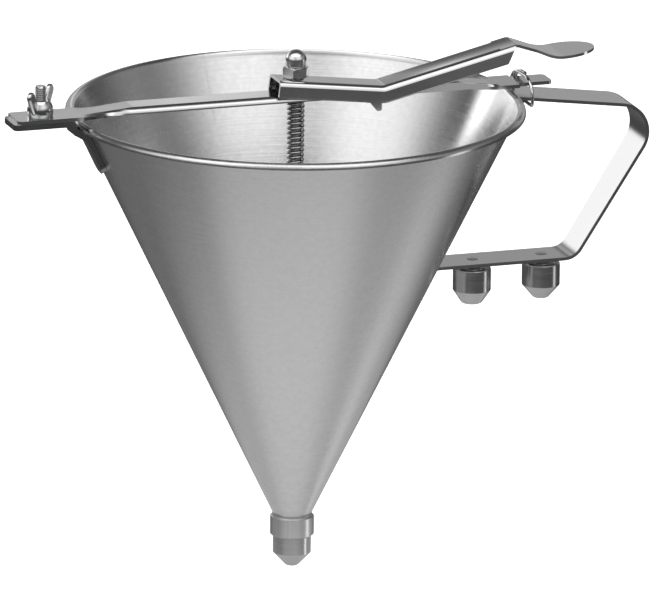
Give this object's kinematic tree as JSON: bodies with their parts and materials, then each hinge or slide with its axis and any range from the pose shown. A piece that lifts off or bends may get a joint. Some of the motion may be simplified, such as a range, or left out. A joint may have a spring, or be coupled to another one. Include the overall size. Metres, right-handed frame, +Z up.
{
  "type": "piston funnel",
  "caption": "Stainless cone funnel with a strap handle; a thumb lever on a crossbar lifts a sprung rod off the outlet seat to portion liquids through screw-on nozzles.",
  "frame": {"origin": "on the cone's axis, at the mouth of the fitted nozzle", "axes": "+Z up along the cone's axis, +X towards the handle, +Y to its left"},
  "size_m": [0.2748, 0.19, 0.221],
  "materials": {
    "cone_steel": "stainless sheet, brushed round the cone",
    "turned_steel": "turned stainless steel",
    "strap_steel": "satin stainless strip",
    "thread_steel": "threaded stainless rod",
    "spring_steel": "drawn stainless wire",
    "polished_steel": "polished stainless steel",
    "wire_steel": "bright stainless wire",
    "nut_steel": "bright cast stainless",
    "nozzle_steel": "turned stainless steel"
  },
  "bodies": {
    "funnel": {"funnel_cone": "cone_steel", "outlet_collar": "turned_steel", "handle_strap": "strap_steel", "spare_stud_inner": "turned_steel", "spare_stud_outer": "turned_steel", "bar_bracket": "strap_steel", "clamp_stud": "thread_steel", "crossbar": "strap_steel", "return_spring": "spring_steel"},
    "lever": {"lever": "polished_steel"},
    "piston": {"piston_rod": "turned_steel", "valve_plug": "turned_steel", "spring_seat": "strap_steel", "seat_pin": "turned_steel", "acorn_nut": "polished_steel"},
    "ring": {"retaining_ring": "wire_steel"},
    "wing_nut": {"wing_nut": "nut_steel"},
    "nozzle_fitted": {"nozzle_fitted": "nozzle_steel"},
    "nozzle_spare_inner": {"nozzle_spare_inner": "nozzle_steel"},
    "nozzle_spare_outer": {"nozzle_spare_outer": "nozzle_steel"}
  },
  "joints": [
    {"name": "lever_press", "type": "hinge", "parent": "funnel", "child": "lever", "pos_m": [0.036, 0, 0.20925], "axis": [0, 1, 0], "range_deg": [0, 6], "stiffness_Nm_per_rad": 2.5, "springref_deg": -5.73},
    {"name": "piston_lift", "type": "slide", "parent": "funnel", "child": "piston", "axis": [0, 0, 1], "range_m": [0, 0.0045], "deforming": ["return_spring"]},
    {"name": "ring_slide", "type": "slide", "parent": "funnel", "child": "ring", "axis": [0.9956, 0, -0.0941], "range_m": [0, 0.0145]},
    {"name": "wing_nut_turn", "type": "hinge", "parent": "funnel", "child": "wing_nut", "pos_m": [-0.1102, 0, 0.2024], "axis": [0, 0, 1], "continuous": true},
    {"name": "nozzle_unscrew", "type": "hinge", "parent": "funnel", "child": "nozzle_fitted", "pos_m": [0, 0, 0.01], "axis": [0, 0, 1], "continuous": true},
    {"name": "spare_inner_unscrew", "type": "hinge", "parent": "funnel", "child": "nozzle_spare_inner", "pos_m": [0.07769, 0, 0.119], "axis": [0, 0, 1], "continuous": true},
    {"name": "spare_outer_unscrew", "type": "hinge", "parent": "funnel", "child": "nozzle_spare_outer", "pos_m": [0.10799, 0, 0.119], "axis": [0, 0, 1], "continuous": true}
  ],
  "couplings": [
    {"joint": "piston_lift", "follows": "lever_press", "m_per_rad": 0.0418}
  ]
}
